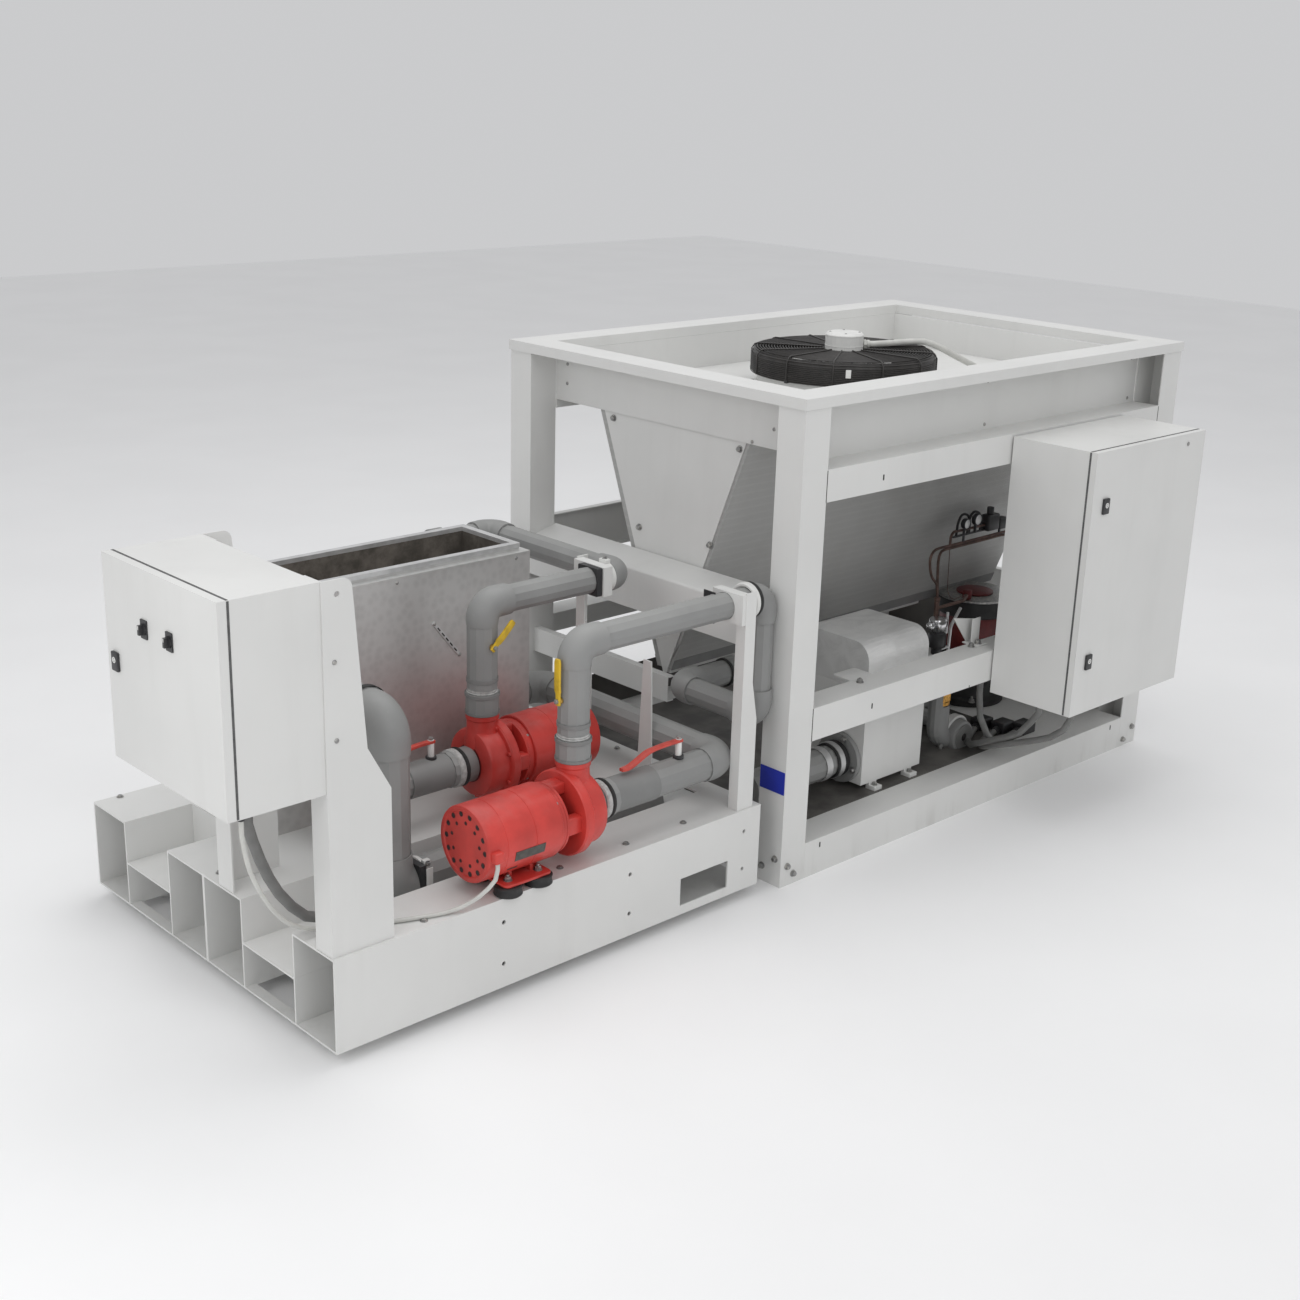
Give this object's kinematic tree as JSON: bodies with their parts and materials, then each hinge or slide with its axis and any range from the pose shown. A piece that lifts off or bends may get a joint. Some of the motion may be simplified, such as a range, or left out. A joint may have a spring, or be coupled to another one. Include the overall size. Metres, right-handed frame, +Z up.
{
  "type": "air cooled water chiller",
  "caption": "Air cooled water chiller with pump skid: framed chiller with fan, V coil and electrical cabinet, beside a forkable base with pumps, pipes, tank and control box.",
  "frame": {"origin": "centre of the bounding box, on the ground", "axes": "+Z up, +X along the set from the pump skid to the chiller, -Y towards the side with the electrical cabinet"},
  "size_m": [3.5668, 1.5284, 1.432],
  "materials": {
    "paint": "satin pale grey powder coat",
    "red": "satin red paint",
    "rubber": "matt black",
    "switch": "black",
    "pipe": "mid grey pressure pipe",
    "lever_red": "red coating",
    "lever_yellow": "yellow coating",
    "galvanised": "dull galvanised sheet",
    "guard": "black coated wire and blades",
    "fan_cap": "white",
    "coil": "fine fins",
    "foil": "soft silver insulation",
    "copper": "copper tube",
    "cable_white": "white conduit",
    "cable_grey": "grey cable"
  },
  "bodies": {
    "base": {"skid_beam_right": "paint", "skid_beam_left": "paint", "skid_middle": "paint", "tank_base_plate": "paint", "bracket_right": "paint", "bracket_left": "paint", "control_box_body": "paint", "near_post": "paint", "far_post": "paint", "header_post": "paint", "post_front_right": "paint", "post_front_left": "paint", "post_rear_right": "paint", "post_rear_left": "paint", "base_frame": "paint", "right_rail": "paint", "left_rail": "paint", "front_rail": "paint", "rear_rail": "paint", "upper_panels": "paint", "fan_deck": "paint", "top_rim": "paint", "coil_hopper": "paint", "evaporator_stand": "paint", "cabinet_body": "paint", "near_motor": "red", "far_motor": "red", "near_pump_casing": "red", "far_pump_casing": "red", "compressor": "red", "near_pump_feet": "rubber", "far_pump_feet": "rubber", "near_suction_pipe": "pipe", "near_discharge_pipe": "pipe", "far_suction_pipe": "pipe", "far_discharge_pipe": "pipe", "tank_drop_pipe": "pipe", "inlet_pipe": "pipe", "suction_bend": "pipe", "tank_body": "galvanised", "fan_guard": "guard", "fan_motor": "fan_cap", "coil_right": "coil", "coil_left": "coil", "evaporator": "foil", "copper_pipe": "copper", "motor_conduit": "cable_white", "fan_conduit": "cable_white", "pump_cable": "cable_grey"},
    "control_box_door": {"control_box_door": "paint"},
    "selector_right": {"selector_right": "switch"},
    "selector_left": {"selector_left": "switch"},
    "near_suction_lever": {"near_suction_lever": "lever_red"},
    "far_suction_lever": {"far_suction_lever": "lever_red"},
    "near_riser_lever": {"near_riser_lever": "lever_yellow"},
    "far_riser_lever": {"far_riser_lever": "lever_yellow"},
    "fan": {"fan_rotor": "guard"},
    "cabinet_door": {"cabinet_door": "paint"}
  },
  "joints": [
    {"name": "control_box_hinge", "type": "hinge", "parent": "base", "child": "control_box_door", "pos_m": [-1.7564, -0.43485, 0.679], "axis": [0, 0, 1], "range_deg": [0, 110]},
    {"name": "selector_right_turn", "type": "hinge", "parent": "control_box_door", "child": "selector_right", "pos_m": [-1.7677, -0.23185, 1.028], "axis": [-1, 0, 0], "range_deg": [-45, 45]},
    {"name": "selector_left_turn", "type": "hinge", "parent": "control_box_door", "child": "selector_left", "pos_m": [-1.7677, -0.12185, 1.028], "axis": [-1, 0, 0], "range_deg": [-45, 45]},
    {"name": "near_suction_valve", "type": "hinge", "parent": "base", "child": "near_suction_lever", "pos_m": [-0.3866, -0.37185, 0.4589], "axis": [0, 0, 1], "range_deg": [0, 90]},
    {"name": "far_suction_valve", "type": "hinge", "parent": "base", "child": "far_suction_lever", "pos_m": [-0.9019, 0.03315, 0.4589], "axis": [0, 0, 1], "range_deg": [0, 90]},
    {"name": "near_riser_valve", "type": "hinge", "parent": "base", "child": "near_riser_lever", "pos_m": [-0.8001, -0.37185, 0.715], "axis": [1, 0, 0], "range_deg": [0, 90]},
    {"name": "far_riser_valve", "type": "hinge", "parent": "base", "child": "far_riser_lever", "pos_m": [-0.7309, -0.00865, 0.745], "axis": [0, -1, 0], "range_deg": [-45, 45]},
    {"name": "fan_spin", "type": "hinge", "parent": "base", "child": "fan", "pos_m": [0.79844, 0.14915, 1.265], "axis": [0, 0, 1], "continuous": true},
    {"name": "cabinet_hinge", "type": "hinge", "parent": "base", "child": "cabinet_door", "pos_m": [1.46448, -0.74815, 0.386], "axis": [0, 0, 1], "range_deg": [0, 110]}
  ]
}
